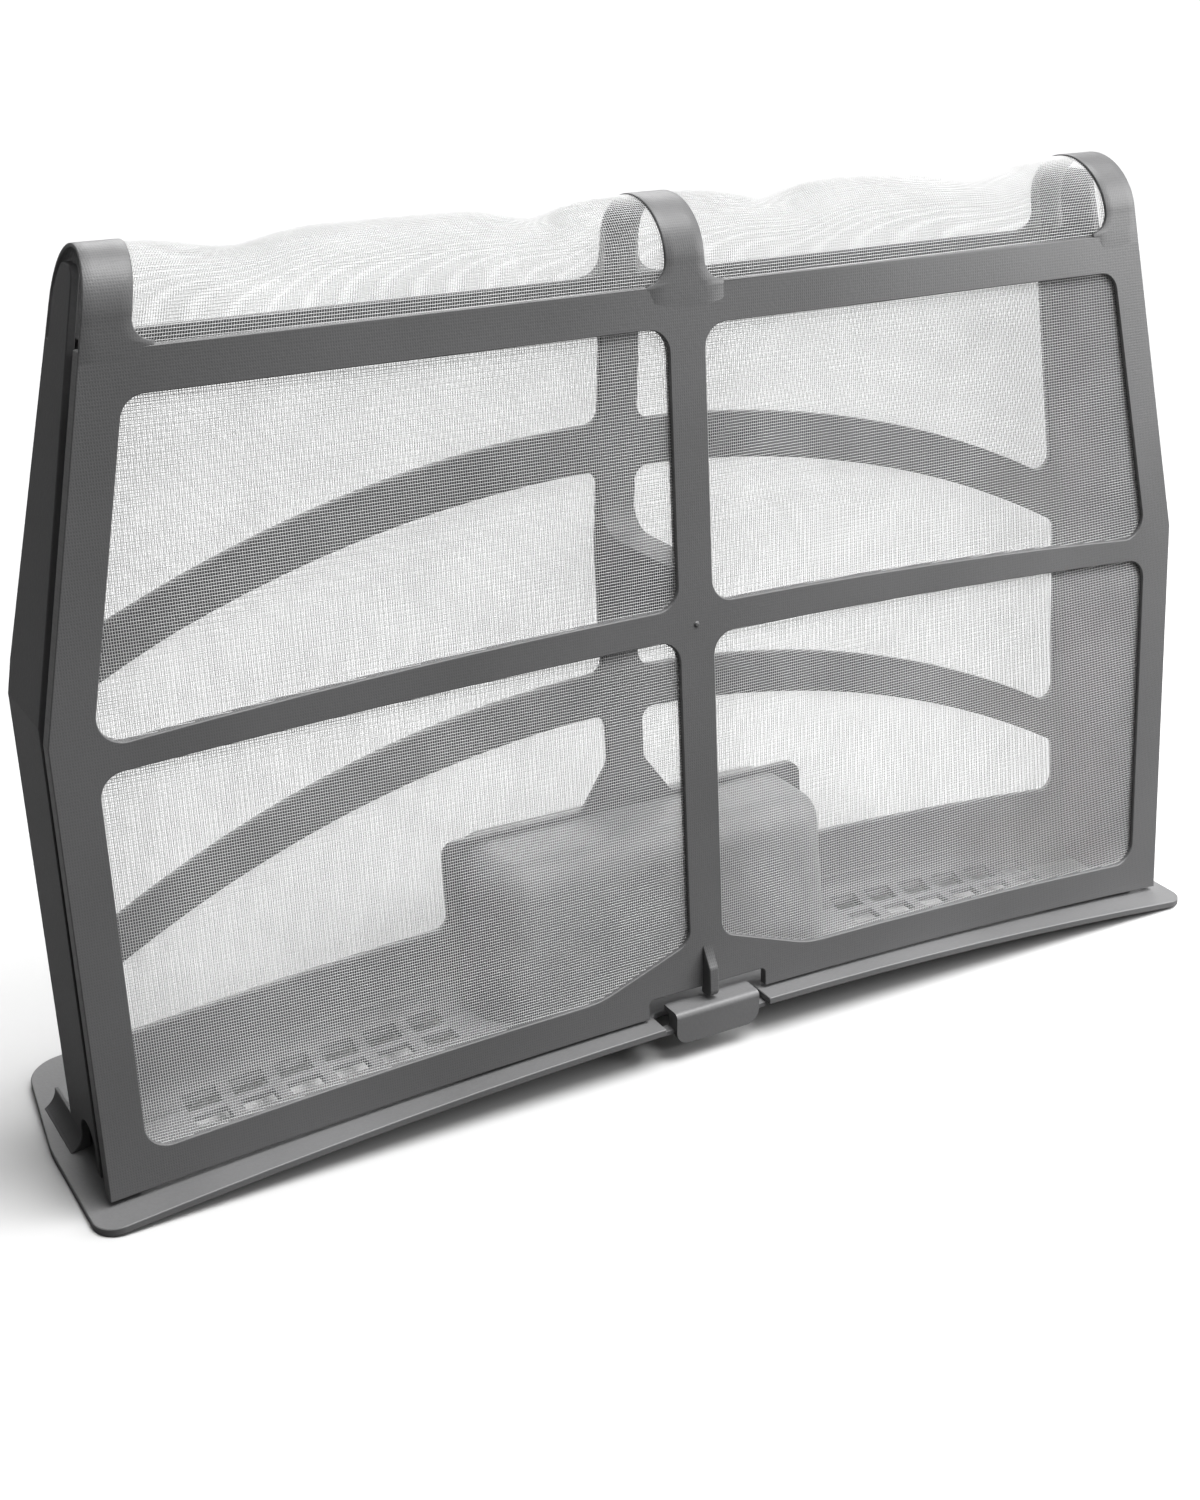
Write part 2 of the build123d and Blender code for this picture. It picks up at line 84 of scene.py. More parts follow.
def makeGrainGroup():
    group = bpy.data.node_groups.new("mouldGrain", "ShaderNodeTree")
    face = group.interface
    face.new_socket(name="Vector", in_out="INPUT", socket_type="NodeSocketVector")
    for name, value in (("Scale", 900.0), ("Cloud", 25.0), ("Rough", 0.5), ("Rough Swing", 0.1)):
        face.new_socket(name=name, in_out="INPUT", socket_type="NodeSocketFloat").default_value = value
    for name in ("Dark", "Light"):
        face.new_socket(name=name, in_out="INPUT", socket_type="NodeSocketColor")
    face.new_socket(name="Color", in_out="OUTPUT", socket_type="NodeSocketColor")
    face.new_socket(name="Roughness", in_out="OUTPUT", socket_type="NodeSocketFloat")
    face.new_socket(name="Height", in_out="OUTPUT", socket_type="NodeSocketFloat")
    start = group.nodes.new("NodeGroupInput")
    end = group.nodes.new("NodeGroupOutput")
    link = group.links.new
    fine = addNode(group, "ShaderNodeTexNoise",
                   Detail=grainNoise["fineDetail"], Roughness=grainNoise["fineRough"])
    link(start.outputs["Vector"], fine.inputs["Vector"])
    link(start.outputs["Scale"], fine.inputs["Scale"])
    broad = addNode(group, "ShaderNodeTexNoise", Detail=grainNoise["broadDetail"])
    link(start.outputs["Vector"], broad.inputs["Vector"])
    link(start.outputs["Cloud"], broad.inputs["Scale"])
    both = group.nodes.new("ShaderNodeMath")
    both.operation = "MULTIPLY_ADD"
    both.inputs[1].default_value = grainNoise["fineShare"]
    link(fine.outputs["Fac"], both.inputs[0])
    link(broad.outputs["Fac"], both.inputs[2])
    low, high = grainNoise["span"]
    span = addNode(group, "ShaderNodeMapRange", From_Min=low, From_Max=high)
    link(both.outputs[0], span.inputs["Value"])
    tone = group.nodes.new("ShaderNodeMix")
    tone.data_type = "RGBA"
    link(span.outputs["Result"], tone.inputs["Factor"])
    link(start.outputs["Dark"], tone.inputs["A"])
    link(start.outputs["Light"], tone.inputs["B"])
    link(tone.outputs["Result"], end.inputs["Color"])
    swing = group.nodes.new("ShaderNodeMath")
    swing.operation = "MULTIPLY_ADD"
    link(fine.outputs["Fac"], swing.inputs[0])
    link(start.outputs["Rough Swing"], swing.inputs[1])
    link(start.outputs["Rough"], swing.inputs[2])
    link(swing.outputs[0], end.inputs["Roughness"])
    link(fine.outputs["Fac"], end.inputs["Height"])
    return group


grainGroup = makeGrainGroup()


# print of the woven cloth through thin plastic: the greater of two cosines, one each way
def makePrintGroup():
    group = bpy.data.node_groups.new("weavePrint", "ShaderNodeTree")
    face = group.interface
    for name, value in (("Across", 0.0), ("Along", 0.0), ("Pitch Across", 0.0006), ("Pitch Along", 0.0007)):
        face.new_socket(name=name, in_out="INPUT", socket_type="NodeSocketFloat").default_value = value
    face.new_socket(name="Print", in_out="OUTPUT", socket_type="NodeSocketFloat")
    start = group.nodes.new("NodeGroupInput")
    end = group.nodes.new("NodeGroupOutput")
    link = group.links.new
    waves = []
    for way in ("Across", "Along"):
        turns = group.nodes.new("ShaderNodeMath")
        turns.operation = "DIVIDE"
        link(start.outputs[way], turns.inputs[0])
        link(start.outputs["Pitch " + way], turns.inputs[1])
        angle = group.nodes.new("ShaderNodeMath")
        angle.operation = "MULTIPLY"
        angle.inputs[1].default_value = 2 * pi
        link(turns.outputs[0], angle.inputs[0])
        wave = group.nodes.new("ShaderNodeMath")
        wave.operation = "COSINE"
        link(angle.outputs[0], wave.inputs[0])
        waves.append(wave)
    top = group.nodes.new("ShaderNodeMath")
    top.operation = "MAXIMUM"
    link(waves[0].outputs[0], top.inputs[0])
    link(waves[1].outputs[0], top.inputs[1])
    span = addNode(group, "ShaderNodeMapRange", From_Min=-1.0, From_Max=1.0)
    link(top.outputs[0], span.inputs["Value"])
    link(span.outputs["Result"], end.inputs["Print"])
    return group


printGroup = makePrintGroup()


# material with the grain group feeding colour, roughness and a shallow bump; where the look has a
# print, its share of the weave's print is added to the bump and lightens the colour; a clear thread
# lets light through and casts only a share of its shadow
def grainMaterial(name, look):
    material = bpy.data.materials.new(name)
    material.use_nodes = True
    tree = material.node_tree
    shader = tree.nodes["Principled BSDF"]
    place = tree.nodes.new("ShaderNodeTexCoord")
    grain = tree.nodes.new("ShaderNodeGroup")
    grain.node_tree = grainGroup
    for key in ("Scale", "Cloud", "Rough", "Rough Swing", "Dark", "Light"):
        grain.inputs[key].default_value = look[key]
    bump = addNode(tree, "ShaderNodeBump", Strength=look["bump"], Distance=look["bumpDepth"])
    link = tree.links.new
    link(place.outputs["Object"], grain.inputs["Vector"])
    color, height = grain.outputs["Color"], grain.outputs["Height"]
    if "print" in look:
        source, along = look["printOn"]
        split = tree.nodes.new("ShaderNodeSeparateXYZ")
        link(place.outputs[source], split.inputs[0])
        weft = tree.nodes.new("ShaderNodeGroup")
        weft.node_tree = printGroup
        weft.inputs["Pitch Across"].default_value = look["pitch"][0]
        weft.inputs["Pitch Along"].default_value = look["pitch"][1]
        link(split.outputs["X"], weft.inputs["Across"])
        link(split.outputs[along], weft.inputs["Along"])
        lifted = tree.nodes.new("ShaderNodeMath")
        lifted.operation = "MULTIPLY_ADD"
        lifted.inputs[1].default_value = look["print"]
        link(weft.outputs["Print"], lifted.inputs[0])
        link(height, lifted.inputs[2])
        share = tree.nodes.new("ShaderNodeMath")
        share.operation = "MULTIPLY"
        share.inputs[1].default_value = look["printShade"]
        link(weft.outputs["Print"], share.inputs[0])
        paler = tree.nodes.new("ShaderNodeMix")
        paler.data_type = "RGBA"
        paler.inputs["B"].default_value = look["printColor"]
        link(share.outputs[0], paler.inputs["Factor"])
        link(color, paler.inputs["A"])
        color, height = paler.outputs["Result"], lifted.outputs[0]
    link(color, shader.inputs["Base Color"])
    link(grain.outputs["Roughness"], shader.inputs["Roughness"])
    link(height, bump.inputs["Height"])
    link(bump.outputs["Normal"], shader.inputs["Normal"])
    shader.inputs["Specular IOR Level"].default_value = look["specular"]
    if "clear" in look:
        shader.inputs["Transmission Weight"].default_value = look["clear"]
        rays = tree.nodes.new("ShaderNodeLightPath")
        cast = tree.nodes.new("ShaderNodeMath")
        cast.operation = "MULTIPLY_ADD"
        cast.inputs[1].default_value = look["shadow"] - 1
        cast.inputs[2].default_value = 1.0
        link(rays.outputs["Is Shadow Ray"], cast.inputs[0])
        link(cast.outputs[0], shader.inputs["Alpha"])
    return material


# the grey plastic of the frames, leaf and straps is painted darker than its own colour: painted shade for
# their dimly lit faces
shadedGreyLook = {
    "Dark": (0.078, 0.078, 0.079, 1), "Light": (0.104, 0.104, 0.106, 1),
    "Scale": 1100.0, "Cloud": 18.0, "Rough": 0.36, "Rough Swing": 0.16,
    "bump": 0.15, "bumpDepth": 0.0003, "specular": 0.15,
}
# the plate and latch are the same grey plastic painted lighter: painted light for the brightly lit pocket
# floor
litPlateLook = shadedGreyLook | {
    "Dark": (0.118, 0.118, 0.119, 1), "Light": (0.155, 0.155, 0.157, 1), "specular": 0.4,
}
leafLook = shadedGreyLook | {
    "print": 0.5, "printShade": 0.16, "printColor": (0.20, 0.20, 0.20, 1),
    "printOn": ("Object", "Z"), "pitch": (0.00061, 0.00074), "specular": 0.42,
}
strapLook = leafLook | {"printOn": ("UV", "Y")}
threadLook = {
    "Dark": (0.54, 0.54, 0.54, 1), "Light": (0.64, 0.64, 0.64, 1),
    "Scale": 2500.0, "Cloud": 60.0, "Rough": 0.45, "Rough Swing": 0.1,
    "bump": 0.1, "bumpDepth": 0.0001, "specular": 0.4, "clear": 0.3, "shadow": 0.08,
}
# the cloth over the top bays is the same thread as in the windows, painted paler: painted light for its
# top, which is lit from above
topLitThreadLook = threadLook | {"Dark": (0.61, 0.61, 0.61, 1), "Light": (0.71, 0.71, 0.71, 1)}  # paler
shadedGreyPlastic = grainMaterial("shadedGreyPlastic", shadedGreyLook)
litPlatePlastic = grainMaterial("litPlatePlastic", litPlateLook)
leafPlastic = grainMaterial("leafPlastic", leafLook)
strapPlastic = grainMaterial("strapPlastic", strapLook)
meshThread = grainMaterial("meshThread", threadLook)
topLitThread = grainMaterial("topLitThread", topLitThreadLook)
print("materials made")


# moulded pieces: the CAD shapes with every sharp arris broken
moulded = {
    "arris": 0.25, "arrisSteps": 2, "sharpAngle": 32.0, "flatAngle": 0.5, "mergeGap": 0.002,
    "clamped": ("latchTongue",),
    "plateShell": ("handle_plate", "base", litPlatePlastic),
    "latchTongue": ("latch_tab", "latch", litPlatePlastic),
    "rearFrame": ("rear_frame", "base", shadedGreyPlastic),
    "frontFrame": ("front_frame", "leaf", leafPlastic),
}


# merged copy of a CAD node with a small bevel along its arrises, baked into the mesh; the normals
# are weighted by area, so that a wide face stays flat up to the arris
def breakArrises(name, node, width, material):
    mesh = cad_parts[node].data.copy()
    work = bmesh.new()
    work.from_mesh(mesh)
    bmesh.ops.remove_doubles(work, verts=work.verts, dist=moulded["mergeGap"] * mm)
    bmesh.ops.dissolve_limit(
        work, angle_limit=radians(moulded["flatAngle"]), verts=work.verts, edges=work.edges)
    work.to_mesh(mesh)
    work.free()
    mesh.shade_smooth()
    mesh.set_sharp_from_angle(angle=radians(moulded["sharpAngle"]))
    obj = bpy.data.objects.new(name, mesh)
    bpy.context.scene.collection.objects.link(obj)
    bevel = obj.modifiers.new("arris", "BEVEL")
    bevel.width = width * mm
    bevel.segments = moulded["arrisSteps"]
    bevel.limit_method = "ANGLE"
    bevel.angle_limit = radians(moulded["sharpAngle"])
    bevel.use_clamp_overlap = name in moulded["clamped"]
    flat = obj.modifiers.new("flat", "WEIGHTED_NORMAL")
    flat.keep_sharp = True
    bpy.context.view_layer.update()
    baked = bpy.data.meshes.new_from_object(obj.evaluated_get(bpy.context.evaluated_depsgraph_get()))
    obj.modifiers.clear()
    obj.data = baked
    baked.name = name
    baked.materials.clear()
    baked.materials.append(material)
    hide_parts(node)
    return obj


for name in ("plateShell", "latchTongue", "rearFrame", "frontFrame"):
    node, body, material = moulded[name]
    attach(breakArrises(name, node, moulded["arris"], material), body)
print("moulded pieces softened")


# woven cloth: two layers of straight threads with a diamond section, lifted apart by a share of
# their height
weave = {"wide": 0.145, "tall": 0.195, "lift": 0.42, "tuck": 1.0, "step": 0.2}


# tubes of diamond section along many lines at once: the corners stand off each line by half
# the thread, to both sides in the cloth and along the cloth's normal
def threadTubes(lines, normals, size):
    count, steps = lines.shape[:2]
    run = np.gradient(lines, axis=1)
    run /= np.linalg.norm(run, axis=2, keepdims=True)
    side = np.cross(run, normals)
    side /= np.linalg.norm(side, axis=2, keepdims=True)
    wide, tall = side * weave["wide"] * size / 2, normals * weave["tall"] * size / 2
    ring = np.stack([wide, tall, -wide, -tall], axis=2)
    points = (lines[:, :, None, :] + ring).reshape(-1, 3)
    first = np.arange(count)[:, None, None] * steps * 4
    along = np.arange(steps - 1)[None, :, None] * 4
    turn = np.arange(4)[None, None, :]
    here = first + along + turn
    beside = first + along + (turn + 1) % 4
    walls = np.stack([here, here + 4, beside + 4, beside], axis=-1).reshape(-1, 4)
    heads = (first + turn).reshape(-1, 4)
    tails = (first + (steps - 1) * 4 + turn[..., ::-1]).reshape(-1, 4)
    return points, np.concatenate([walls, heads, tails])


# first and last point of each row of a yes/no grid, and whether the row has any
def rowEnds(inside, samples):
    return inside.any(1), samples[inside.argmax(1)], samples[-1 - inside[:, ::-1].argmax(1)]


# straight threads both ways across a pane; inside(x, z) says where the pane is open,
# surface(x, z) gives the cloth's depth y and normal(x, z) its outward direction
def wovenPane(box, inside, surface, normal, cloth):
    xLow, xHigh, zLow, zHigh = box
    xs = np.arange(xLow, xHigh, cloth["pitch"][0])
    zs = np.arange(zLow, zHigh, cloth["pitch"][1])
    xFine = np.arange(xLow, xHigh, weave["step"])
    zFine = np.arange(zLow, zHigh, weave["step"])
    t = np.linspace(0, 1, cloth["steps"])
    lift = weave["tall"] * cloth["size"] * weave["lift"]
    sets = []
    found, low, high = rowEnds(inside(xs[:, None], zFine[None, :]), zFine)
    low, high, x = low[found] - weave["tuck"], high[found] + weave["tuck"], xs[found]
    z = low[:, None] + (high - low)[:, None] * t
    sets.append((x[:, None] + 0 * z, z, -lift))
    found, low, high = rowEnds(inside(xFine[None, :], zs[:, None]), xFine)
    low, high, z = low[found] - weave["tuck"], high[found] + weave["tuck"], zs[found]
    x = low[:, None] + (high - low)[:, None] * t
    sets.append((x, z[:, None] + 0 * x, lift))
    points, quads, total = [], [], 0
    for x, z, off in sets:
        out = normal(x, z)
        lines = np.stack([x, surface(x, z), z], axis=-1) + out * off
        p, q = threadTubes(lines, out, cloth["size"])
        points.append(p)
        quads.append(q + total)
        total += len(p)
    return np.concatenate(points), np.concatenate(quads)


# several sets of points and faces as one, each set's faces counted on from the points before it
def joined(parts):
    starts = np.cumsum([0] + [len(p) for p, q in parts[:-1]])
    quads = [q + start for (p, q), start in zip(parts, starts)]
    return np.concatenate([p for p, q in parts]), np.concatenate(quads)


# height at x of a circle's arc whose crown is on the centre line
def archHeight(x, crown, radius):
    return crown - radius + np.sqrt(radius**2 - x**2)


# opening leaf: its face leans back and bows forward, and its windows are bounded by flat arches
leaf = {
    "midZ": 117.0, "faceY": -21.75, "slope": 0.0925, "bow": 3.6, "bowR": 3126.8, "clothDepth": 1.2,
    "post": 5.1, "half": 154.8, "taper": 0.2067, "pitch": (0.61, 0.74), "size": 1.0,
    "steps": 9, "edge": 1.0, "fall": 10.0,
    "upper": ((192.2, 13200.0), (122.6, 1580.0)),
    "lower": ((114.5, 2026.0), (21.8, 1648.0)),
    "swell": (32.0, 21.8, 31.4),
}


# cloth in the leaf: a plane that leans back with height, less an arc of the bow across the leaf
def leafSurface(x, z):
    bow = leaf["bow"] - (leaf["bowR"] - np.sqrt(leaf["bowR"]**2 - x**2))
    return leaf["faceY"] + leaf["clothDepth"] + leaf["slope"] * (z - leaf["midZ"]) - bow


# outward direction there: forward, leaning up by the slope and outwards by x over the bow's radius
def leafNormal(x, z):
    out = np.stack([x / leaf["bowR"], -np.ones_like(x), leaf["slope"] + 0 * z], axis=-1)
    return out / np.linalg.norm(out, axis=-1, keepdims=True)


# one half of a window from the centre post outwards: its side draws in above mid height, arcs bound
# it above and below, and the lower one rises to the swell beside the post
def leafPane(which):
    (topZ, topR), (lowZ, lowR) = leaf[which]
    swellX, swellLow, swellHigh = leaf["swell"]

    def inside(x, z):
        side = leaf["half"] - leaf["taper"] * np.maximum(z - leaf["midZ"], 0)
        low = archHeight(x, lowZ, lowR)
        if which == "lower":
            swell = swellHigh - (x - leaf["post"]) * (swellHigh - swellLow) / (swellX - leaf["post"])
            low = np.maximum(low, swell)
        return (x > leaf["post"]) & (x < side) & (z > low) & (z < archHeight(x, topZ, topR))

    edge = leaf["edge"]
    box = (leaf["post"] - edge, leaf["half"] + edge, lowZ - leaf["fall"], topZ + edge)
    return wovenPane(box, inside, leafSurface, leafNormal, leaf)


# the same threads on the other side of the centre plane, with the faces turned to stay outwards
def mirrored(part):
    points, quads = part
    return points * (-1, 1, 1), quads[:, ::-1]


panes = [leafPane("upper"), leafPane("lower")]
frontCloth = addMesh("frontCloth", *joined(panes + [mirrored(p) for p in panes]), meshThread)
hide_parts("front_mesh")
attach(frontCloth, "leaf")
print("front cloth:", len(frontCloth.data.polygons), "faces")


# fixed rear leaf: two flat halves that meet at a bend, with arched ribs between the windows
rear = {
    "bendZ": 125.0, "bendY": 15.75, "leanUp": -0.038, "leanDown": 0.115, "clothDepth": 1.2,
    "post": 5.5, "half": 153.5, "taper": 0.2067, "midZ": 117.0, "pitch": (0.46, 0.54), "size": 0.80,
    "steps": 5, "edge": 1.0, "fall": 48.0,
    "top": ((189.3, 1e5), (161.3, 326.75)),
    "middle": ((148.6, 326.75), (92.7, 313.84)),
    "bottom": ((81.1, 313.84), (32.5, 1606.0)),
    "cupHalf": 57.2, "cupTop": 55.0,
}


# cloth in the rear leaf: a plane above the bend and another below it, each with its own lean
def rearSurface(x, z):
    rise = z - rear["bendZ"]
    lean = np.where(rise > 0, rear["leanUp"], rear["leanDown"])
    return rear["bendY"] + rear["clothDepth"] + lean * rise


# outward direction of the rear cloth, taken as straight back on both planes
def rearNormal(x, z):
    return np.stack([0 * x, np.ones_like(x), 0 * z], axis=-1)


# one half of a rear window between two arcs; the bottom one also leaves the finger cup free
def rearPane(which):
    (topZ, topR), (lowZ, lowR) = rear[which]

    def inside(x, z):
        side = rear["half"] - rear["taper"] * np.maximum(z - rear["midZ"], 0)
        between = (z > archHeight(x, lowZ, lowR)) & (z < archHeight(x, topZ, topR))
        clearOfCup = (which != "bottom") | (x > rear["cupHalf"]) | (z > rear["cupTop"])
        return (x > rear["post"]) & (x < side) & between & clearOfCup

    edge = rear["edge"]
    box = (rear["post"] - edge, rear["half"] + edge, lowZ - rear["fall"], topZ + edge)
    return wovenPane(box, inside, rearSurface, rearNormal, rear)


panes = [rearPane("top"), rearPane("middle"), rearPane("bottom")]
rearCloth = addMesh("rearCloth", *joined(panes + [mirrored(p) for p in panes]), meshThread)
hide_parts("rear_mesh")
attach(rearCloth, "base")
print("rear cloth:", len(rearCloth.data.polygons), "faces")


# living hinge: straps and cloth run up the leaf's face, over half an ellipse and down the rear
# leaf's back
hinge = {
    "y": -0.25, "z": 207.0, "high": 14.5, "proud": 0.04, "frontFoot": 202.4, "rearFoot": 199.5,
    "frontEnd": 196.0, "rearEnd": 192.5, "sink": 0.14, "sinkRun": 4.0, "rearThick": 2.4,
}


# rows of places along the hinge path: a height on the front leg, an angle over the arch and a
# height on the rear leg; each returns the leg heights with the angle that goes with them
def hingeRows(frontHeights, angles, rearHeights):
    heights = np.concatenate([frontHeights, np.full(len(angles), hinge["z"]), rearHeights])
    turned = np.concatenate([np.zeros(len(frontHeights)), angles, np.full(len(rearHeights), pi)])
    return heights, turned


# outer face of the hinge at x: on the front leg the leaf's own face, then an ellipse whose half
# width reaches from the hinge line to that face or to the rear leaf's back, then that back
def hingeFace(x, height, angle):
    x, height, angle = np.broadcast_arrays(x, height, angle)
    frontY = leafSurface(x, height) - leaf["clothDepth"] - hinge["proud"]
    backY = rearSurface(x, height) - rear["clothDepth"] + hinge["rearThick"] + hinge["proud"]
    reach = np.where(angle < pi / 2, hinge["y"] - frontY, backY - hinge["y"])
    y = hinge["y"] - reach * np.cos(angle)
    z = height + hinge["high"] * np.sin(angle)
    out = np.stack([0 * y, -np.cos(angle) * hinge["high"], np.sin(angle) * reach], axis=-1)
    return np.stack([x, y, z], axis=-1), out / np.linalg.norm(out, axis=-1, keepdims=True)


# width that the strap gains near a foot: a quarter circle that opens into the rail
def footFlare(z, foot, radius):
    rise = np.clip(foot + radius - z, 0, radius)
    return radius - np.sqrt(np.maximum(radius**2 - rise**2, 0))


strap = {
    "thick": 0.9, "edge": 0.28, "half": 5.5, "sideWide": 10.9, "flareR": 5.5,
    "leafHalf": 165.0, "narrower": 1.5, "taper": 0.2067, "rows": 41, "edgeSink": 3.0, "railGap": 0.5,
    "footRows": (0, 0.8, 1.6, 3.4, 5.2), "flareStep": 15, "corner": (0, 0.29, 1),
}


# strap: a thin section with rounded edges carried along the hinge path; both feet dip into the
# rails, a side strap's outer edge follows the leaf's and draws in over the arch, and the UV map is
# x against the length along the path
def makeStrap(name, node, side):
    flare = strap["flareR"] * (1 - np.sin(np.radians(np.arange(90, 0, -strap["flareStep"]))))
    rise = np.array(strap["footRows"])
    front = np.concatenate([hinge["frontEnd"] + rise, hinge["frontFoot"] + flare])
    back = np.concatenate([hinge["rearFoot"] + flare[::-1], hinge["rearEnd"] + rise[::-1]])
    height, angle = hingeRows(front, np.linspace(0, pi, strap["rows"]), back)
    z = height + hinge["high"] * np.sin(angle)
    foot = np.where(angle < pi / 2, hinge["frontFoot"], hinge["rearFoot"])
    gain = footFlare(z, foot, strap["flareR"])
    if side:
        over = (1 - np.cos(angle)) / 2
        outer = strap["leafHalf"] - strap["narrower"] * over - strap["taper"] * (z - leaf["midZ"])
        inner = outer - strap["sideWide"] - gain
    else:
        outer = strap["half"] + gain
        inner = -outer
    corner = np.array(strap["corner"]) * strap["edge"]
    across = np.concatenate([corner, [0, 0, 0], -corner[::-1], -corner, [0, 0, 0], corner[::-1]])
    share = np.concatenate([[0] * 3, [0.25, 0.5, 0.75], [1] * 6, [0.75, 0.5, 0.25], [0] * 3])
    depth = np.concatenate([corner[::-1], [0] * 3, corner])
    depth = np.concatenate([depth, strap["thick"] - depth[::-1]])
    x = inner[:, None] + (outer - inner)[:, None] * share + across
    points, out = hingeFace(x, height[:, None], angle[:, None])
    nearEnd = np.minimum(np.abs(height - hinge["frontEnd"]), np.abs(height - hinge["rearEnd"]))
    dip = hinge["sink"] * np.clip(1 - nearEnd / hinge["sinkRun"], 0, 1)
    fromEdge = x - inner[:, None] if side else np.minimum(x - inner[:, None], outer[:, None] - x)
    onRail = (z < foot - strap["railGap"])[:, None]
    edgeDip = hinge["sink"] * np.clip(1 - fromEdge / strap["edgeSink"], 0, 1) * onRail
    points = points - out * (depth + np.maximum(dip[:, None], edgeDip))[..., None]
    if side < 0:
        points = points * (-1, 1, 1)
    rows, ring = x.shape
    here = np.arange(rows - 1)[:, None] * ring + np.arange(ring)
    beside = np.arange(rows - 1)[:, None] * ring + (np.arange(ring) + 1) % ring
    quads = np.stack([here, beside, beside + ring, here + ring], axis=-1).reshape(-1, 4)
    half = np.arange(ring // 2 - 1)
    cap = np.stack([half, ring - 1 - half, ring - 2 - half, half + 1], axis=-1)
    quads = np.concatenate([quads, cap, cap[:, ::-1] + (rows - 1) * ring])
    obj = addMesh(name, points.reshape(-1, 3), quads, strapPlastic)
    middle = points[:, 4]  # centre line of the outer face
    path = np.concatenate([[0], np.cumsum(np.linalg.norm(np.diff(middle, axis=0), axis=1))])
    flat = np.stack([points[..., 0], path[:, None] + 0 * x], axis=-1).reshape(-1, 2) * mm
    corners = np.empty(len(obj.data.loops), np.int32)
    obj.data.loops.foreach_get("vertex_index", corners)
    layer = obj.data.uv_layers.new(name="cloth")
    layer.uv.foreach_set("vector", flat[corners].astype(np.float32).ravel())
    work = bmesh.new()
    work.from_mesh(obj.data)
    bmesh.ops.recalc_face_normals(work, faces=work.faces)
    work.to_mesh(obj.data)
    work.free()
    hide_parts(node)
    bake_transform(obj)


makeStrap("strapLeft", "strap_left", -1)
makeStrap("strapCentre", "strap_centre", 0)
makeStrap("strapRight", "strap_right", 1)
print("hinge straps made")

# loose cloth between the straps; its dips are (place along x, depth, width) for each side
bay = {
    "pitch": (0.61, 0.74), "size": 1.0, "inner": 4.6, "outer": 137.3, "legIn": 1.2, "crownIn": 0.5,
    "frontFoot": 200.8, "rearFoot": 197.8, "steps": 33, "runs": 49, "hem": 0.01,
    "left": ((32, 3.0, 10), (107, 3.0, 12)), "right": ((34, 3.0, 11), (100, 3.2, 15)),
}


# bay cloth: the hinge face set inwards, least at the crown, and sinking in a few bell-shaped dips
def bayFace(share, along, dips):
    legs = np.array([hinge["z"] - bay["frontFoot"], pi * hinge["high"], hinge["z"] - bay["rearFoot"]])
    ends = np.cumsum(legs)
    path = along * ends[-1]
    angle = np.clip((path - ends[0]) / hinge["high"], 0, pi)
    height = hinge["z"] - np.clip(ends[0] - path, 0, None) - np.clip(path - ends[1], 0, None)
    z = height + hinge["high"] * np.sin(angle)
    x = bay["inner"] + share * (bay["outer"] - strap["taper"] * (z - hinge["frontFoot"]) - bay["inner"])
    points, out = hingeFace(x, height, angle)
    sink = sum(deep * np.exp(-((x - at) / wide)**2) for at, deep, wide in dips)
    inset = bay["legIn"] + (bay["crownIn"] - bay["legIn"] + sink) * np.sin(angle)
    return points - out * inset[..., None], out


# threads over the arch at even shares of the width, and threads across it at even steps of the path
def bayThreads(dips):
    lift = weave["tall"] * bay["size"] * weave["lift"]
    length = 2 * hinge["z"] - bay["frontFoot"] - bay["rearFoot"] + pi * hinge["high"]
    share = np.arange(0, 1, bay["pitch"][0] / (bay["outer"] - bay["inner"]))[:, None]
    along = np.linspace(0, 1, bay["steps"])[None, :]
    points, out = bayFace(share + 0 * along, along + 0 * share, dips)
    over = threadTubes(points - out * lift, out, bay["size"])
    along = np.arange(bay["hem"], 1 - bay["hem"], bay["pitch"][1] / length)[:, None]
    share = np.linspace(0, 1, bay["runs"])[None, :]
    points, out = bayFace(share + 0 * along, along + 0 * share, dips)
    return joined([over, threadTubes(points + out * lift, out, bay["size"])])


for name, node, threads in (("topClothRight", "top_mesh_right", bayThreads(bay["right"])),
                            ("topClothLeft", "top_mesh_left", mirrored(bayThreads(bay["left"])))):
    cloth = addMesh(name, *threads, topLitThread)
    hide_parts(node)
    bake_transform(cloth)
print("loose cloth made")


# white studio: a soft light overhead and a little in front, a fainter one low behind, a lamp at the
# right and a sky that is dim at the left; the floor throws little light back on the object, and
# whiteTo gives the rays that see floor and sky white, each with its share
studio = {
    "floorHalf": 6.0, "floorRough": 0.9,
    "floorColor": (0.53, 0.53, 0.53, 1), "floorBounce": (0.05, 0.05, 0.05, 1),
    "skySpan": (-0.7, 1.0), "skyDim": 0.01, "skyBright": 0.70, "skyWhite": 1.05,
    "whiteTo": {"Is Camera Ray": 1.0, "Is Transmission Ray": 1.0, "Is Glossy Ray": 0.3},
    "topSun": ((0.30, -0.22, 1.0), 5.0, 40.0),  # where from, power, spread in degrees
    "backSun": ((0.35, 0.75, 0.55), 1.3, 36.0),
    "rightLamp": ((0.50, -0.28, 0.30), (0.08, 0, 0.1), 0.3, 2.8),  # place, aim, size, power
}


